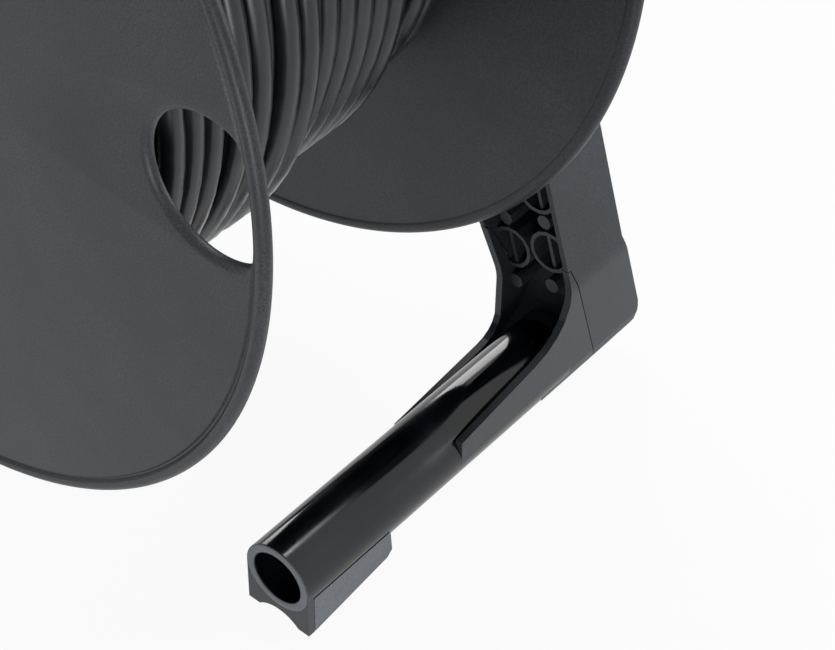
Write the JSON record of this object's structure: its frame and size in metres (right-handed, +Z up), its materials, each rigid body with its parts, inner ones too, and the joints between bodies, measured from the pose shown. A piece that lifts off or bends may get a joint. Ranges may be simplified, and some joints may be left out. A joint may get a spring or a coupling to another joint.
{
  "type": "fibre optic cable on a drum",
  "caption": "Long fibre optic cable wound on a plastic drum that turns on the axle of a one-sided carrying stand with two tubular feet.",
  "frame": {"origin": "on the floor under the middle of the object's box, the cable and its connectors left out", "axes": "+X along the axle, from the open side of the drum to the side frame; +Z up; the front foot is on the -Y side"},
  "size_m": [0.2046, 0.31, 0.4105],
  "materials": {
    "drum_plastic": "fine grained matte",
    "frame_plastic": "fine grained matte",
    "foot_plastic": "gloss",
    "pad_plastic": "matte",
    "cable_jacket": "satin",
    "black_rubber": "matte",
    "steel": "zinc plated",
    "brass": "plain",
    "connector_shell": "black anodised",
    "bearing_nylon": "plain"
  },
  "bodies": {
    "stand": {"side_frame": "frame_plastic", "foot_front": "foot_plastic", "foot_rear": "foot_plastic", "tip_pad_front": "pad_plastic", "tip_pad_rear": "pad_plastic", "heel_pad_front": "black_rubber", "heel_pad_rear": "black_rubber", "foot_screw_1": "steel", "foot_screw_2": "steel", "foot_screw_3": "steel", "foot_screw_4": "steel", "carry_bar": "foot_plastic", "bar_grip": "black_rubber", "bar_end_cap": "foot_plastic", "bar_screw_front": "steel", "bar_screw_rear": "steel", "axle": "steel", "washer_near": "steel", "washer_far": "steel", "washer_back": "steel", "retaining_ring": "steel", "axle_nut": "steel", "axle_cap": "frame_plastic", "brake_insert": "brass"},
    "drum": {"flange_near": "drum_plastic", "flange_far": "drum_plastic", "core_tube": "drum_plastic", "hub_cup": "drum_plastic", "bush_near": "bearing_nylon", "bush_far": "bearing_nylon", "tie_bolt_1": "steel", "tie_bolt_2": "steel", "tie_bolt_3": "steel", "tie_bolt_4": "steel", "tie_nut_1": "steel", "tie_nut_2": "steel", "tie_nut_3": "steel", "tie_nut_4": "steel", "cable_winding": "cable_jacket", "cable_inner": "cable_jacket", "cable_outer": "cable_jacket", "inner_boot": "black_rubber", "inner_shell": "connector_shell", "inner_cap": "black_rubber", "outer_boot": "black_rubber", "outer_shell": "connector_shell", "outer_cap": "black_rubber"},
    "brake_slider": {"brake_pad": "black_rubber"},
    "brake_screw": {"brake_spindle": "steel", "brake_knob": "frame_plastic"},
    "inner_coupling": {"inner_ring": "connector_shell"},
    "outer_coupling": {"outer_ring": "connector_shell"}
  },
  "joints": [
    {"name": "drum_spin", "type": "hinge", "parent": "stand", "child": "drum", "pos_m": [-0.02715, 0, 0.1845], "axis": [1, 0, 0], "continuous": true},
    {"name": "brake_press", "type": "slide", "parent": "stand", "child": "brake_slider", "axis": [-1, 0, 0], "range_m": [0, 0.00125]},
    {"name": "brake_turn", "type": "hinge", "parent": "brake_slider", "child": "brake_screw", "pos_m": [0.08285, 0, 0.2305], "axis": [1, 0, 0], "range_deg": [0, 360]},
    {"name": "outer_ring_turn", "type": "hinge", "parent": "drum", "child": "outer_coupling", "pos_m": [-0.0421, 0.1145, 0.1205], "axis": [0, 0, -1], "continuous": true},
    {"name": "inner_ring_turn", "type": "hinge", "parent": "drum", "child": "inner_coupling", "pos_m": [-0.08445, 0.0095, 0.1475], "axis": [0, 1, 0], "continuous": true}
  ],
  "couplings": [
    {"joint": "brake_turn", "follows": "brake_press", "rad_per_m": 5026.5}
  ]
}
